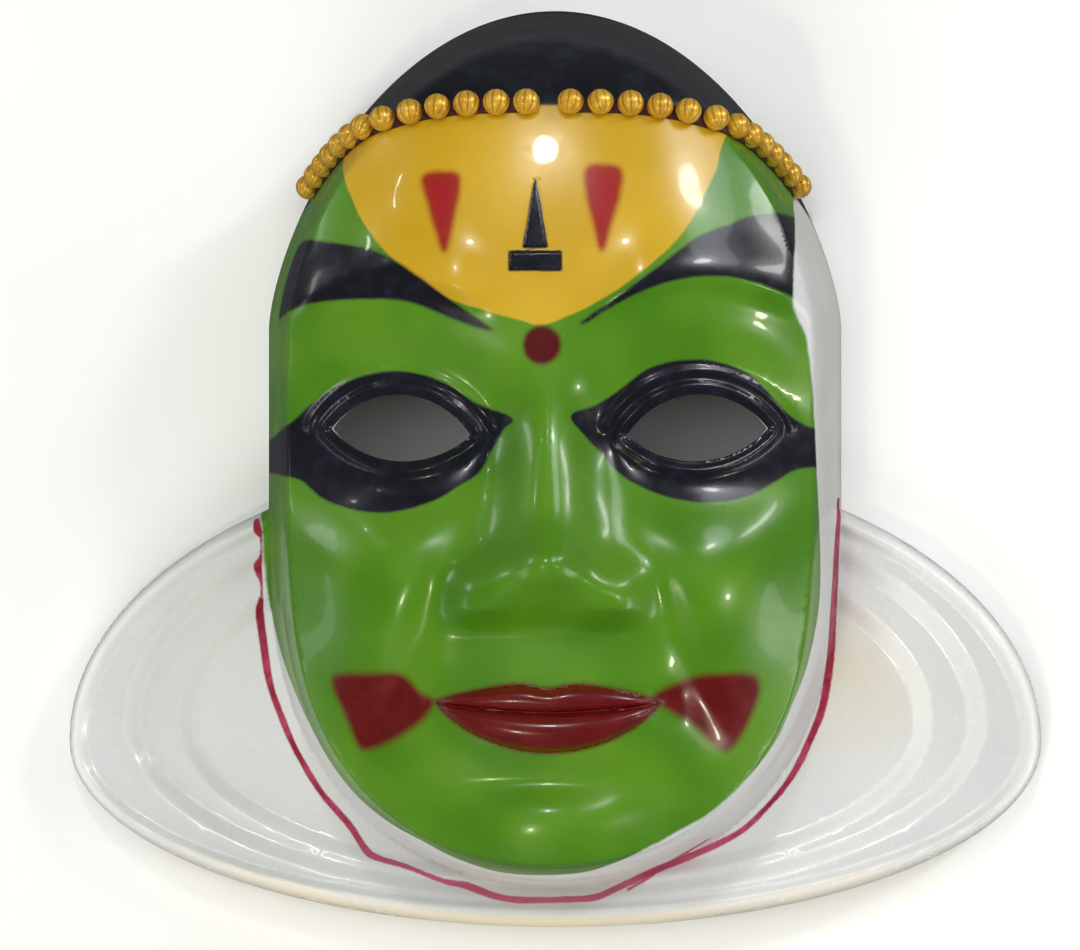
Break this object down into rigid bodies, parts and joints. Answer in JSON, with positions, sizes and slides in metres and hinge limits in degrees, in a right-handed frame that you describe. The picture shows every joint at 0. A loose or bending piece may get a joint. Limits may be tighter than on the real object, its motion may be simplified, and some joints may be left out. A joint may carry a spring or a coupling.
{
  "type": "kathakali mask",
  "caption": "Thin glossy plastic theatre mask with a painted face, almond eye holes, a hair crown with gold bead trims and a wide stepped ruff, for wearing or display.",
  "frame": {"origin": "middle of the mask in the plane of its cut edge, which it rests on when it lies on its back", "axes": "+X across the face towards the viewer's right, +Y towards the crown, +Z out of the face"},
  "size_m": [0.247, 0.233, 0.0895],
  "materials": {
    "painted_sheet": "glossy lacquer over sprayed and brushed paint on white plastic sheet",
    "gold_bead": "gold-coloured glossy moulded beads"
  },
  "bodies": {
    "root": {"mask_shell": "painted_sheet", "bead_trim_left": "gold_bead", "bead_trim_right": "gold_bead"}
  },
  "joints": []
}
